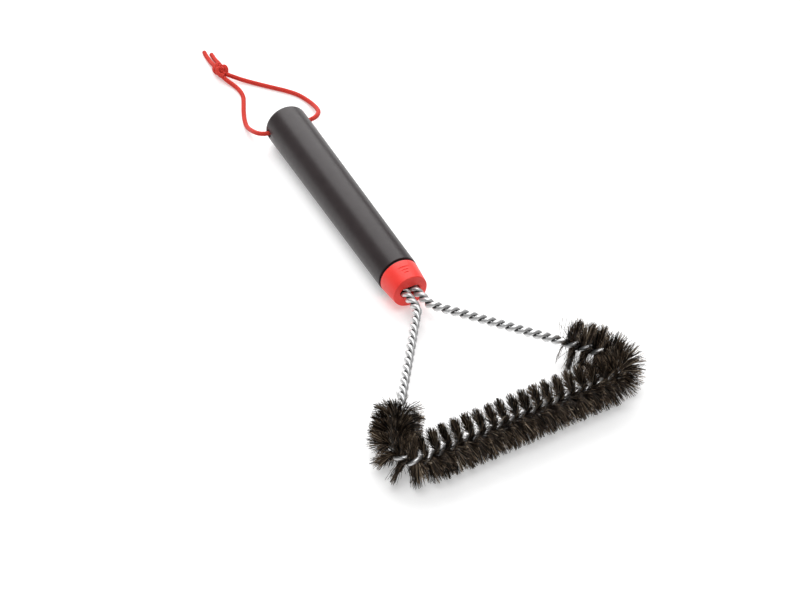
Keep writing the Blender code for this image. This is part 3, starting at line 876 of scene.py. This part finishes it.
def bristle_lines(line, s, marks):
    """Each bristle's place along the core line, its root, middle and tip, and its tone from 0 to 1.

    A bristle that would go into the floor is cut short just above it.
    """
    corner_start, corner_end, bristled = marks
    rng = np.random.default_rng(BRISTLE_SEED)
    count = BRISTLE_COUNT
    place = bristle_places(rng, bristled)
    ahead, across, up = core_directions(line)

    def at(values):
        """Values of the core line's points, where each bristle stands."""
        return np.stack([np.interp(place, s, values[:, k]) for k in range(3)], axis=1)

    centre, ahead, across, up = at(line), at(ahead), at(across), at(up)
    clump = np.floor((place - place.min()) / CLUMP_LENGTH).astype(int)
    clump_lean = rng.normal(0, 1, clump.max() + 1)[clump]
    spread = np.where(rng.random(count) < STRAY_SHARE, STRAY_SPREAD, SPREAD)
    angle = twist_angle(place, bristled) + math.pi / 2 + rng.integers(0, 2, count) * math.pi
    angle += rng.normal(0, 1, count) * spread
    tilt = rng.normal(0, 1, count) * spread + clump_lean * CLUMP_LEAN
    outward = np.cos(angle)[:, None] * across + np.sin(angle)[:, None] * up
    direction = np.cos(tilt)[:, None] * outward + np.sin(tilt)[:, None] * ahead
    sideways = np.cross(ahead, outward)
    root = centre + BRISTLE_ROOT * outward + rng.uniform(-ROOT_SCATTER, ROOT_SCATTER, (count, 1)) * sideways
    from_corner = np.abs(np.abs(place) - (corner_start + corner_end) / 2) / (corner_end - corner_start)
    in_corner = np.clip(2 - 4 * from_corner, 0, 1)
    uneven = LENGTH_SPREAD + CORNER_LENGTH_SPREAD * in_corner
    reach = (BRISTLE_REACH * (LONGEST - uneven * rng.random(count)) - BRISTLE_ROOT)[:, None]
    bow = rng.normal(0, BOW, (count, 1)) * sideways + rng.normal(0, BOW, (count, 1)) * ahead
    middle = root + 0.5 * reach * direction + bow * BOW_AT_MIDDLE
    tip = root + reach * direction - bow * BOW_AT_TIP
    floor_gap = rng.uniform(*FLOOR_GAPS, count)
    drop = np.maximum(root[:, 2] - tip[:, 2], NEARLY_NOTHING)
    share = np.where(tip[:, 2] < floor_gap, np.clip((root[:, 2] - floor_gap) / drop, 0, 1), 1)[:, None]
    tip = root + (tip - root) * share
    middle = root + (middle - root) * share
    tone = np.clip(rng.beta(*TONE_SHAPE, count) + CLUMP_TONE * clump_lean, 0, 1)
    return place, np.stack([root, middle, tip], axis=1), tone


def mesh_of_bristles(name, lines, tones):
    """One mesh of thin three-sided bristles, each bent once at its middle."""
    count = len(lines)
    sides = BRISTLE_SIDES
    per_bristle = 3 * sides
    ahead = lines[:, 2] - lines[:, 0]
    ahead /= np.linalg.norm(ahead, axis=1, keepdims=True)
    side = np.cross(ahead, OFF_ALL_AXES)
    side /= np.linalg.norm(side, axis=1, keepdims=True)
    up = np.cross(ahead, side)
    turns = math.tau * np.arange(sides) / sides
    spokes = np.cos(turns)[None, :, None] * side[:, None, :] + np.sin(turns)[None, :, None] * up[:, None, :]
    verts = lines[:, :, None, :] + BRISTLE_RADIUS * spokes[:, None, :, :]
    one = []
    for ring in (0, sides):
        for i in range(sides):
            j = (i + 1) % sides
            one += [(ring + i, ring + j, ring + sides + j), (ring + i, ring + sides + j, ring + sides + i)]
    one += [(2, 1, 0), (per_bristle - 3, per_bristle - 2, per_bristle - 1)]
    faces = (np.arange(count)[:, None, None] * per_bristle + np.array(one)[None, :, :]).reshape(-1, 3)
    mesh = bpy.data.meshes.new(name)
    mesh.from_pydata(verts.reshape(-1, 3).tolist(), [], faces.tolist())
    layer = mesh.attributes.new("tone", "FLOAT", "POINT")
    layer.data.foreach_set("value", np.repeat(tones, per_bristle).astype(np.float32))
    return finished(mesh, sharp_deg=80)


def build_bristles(line, s, marks):
    """The bristles, as one piece for each CAD solid that they stand for."""
    corner_start, corner_end, _ = marks
    place, lines, tones = bristle_lines(line, s, marks)
    runs = {
        "bristles_left_arm": (-math.inf, -corner_end),
        "bristles_left_corner": (-corner_end, -corner_start),
        "bristles_front": (-corner_start, corner_start),
        "bristles_right_corner": (corner_start, corner_end),
        "bristles_right_arm": (corner_end, math.inf),
    }
    material = bristle_steel()
    for node, (start, end) in runs.items():
        inside = (place >= start) & (place < end)
        name = "wire_" + node
        mesh = mesh_of_bristles(name, lines[inside], tones[inside])
        add_piece(name, mesh, material, "handle", "bristle_steel", node)


def dress_inner_parts():
    """Better materials on the CAD nodes that stay: the black core and the crimped sleeve."""
    materials = {"anchor_core": core_plastic(), "wire_ferrule": sleeve_steel()}
    for node, material in materials.items():
        for slot in frame["nodes"][node].material_slots:
            slot.material = material


add_camera()
build_cord()
add_stage()
build_grip()
build_collar()
dress_inner_parts()
core = core_line()
core_s = core_distances(core)
marks = head_marks()
build_wires(core, core_s, marks[-1])
build_bristles(core, core_s, marks)
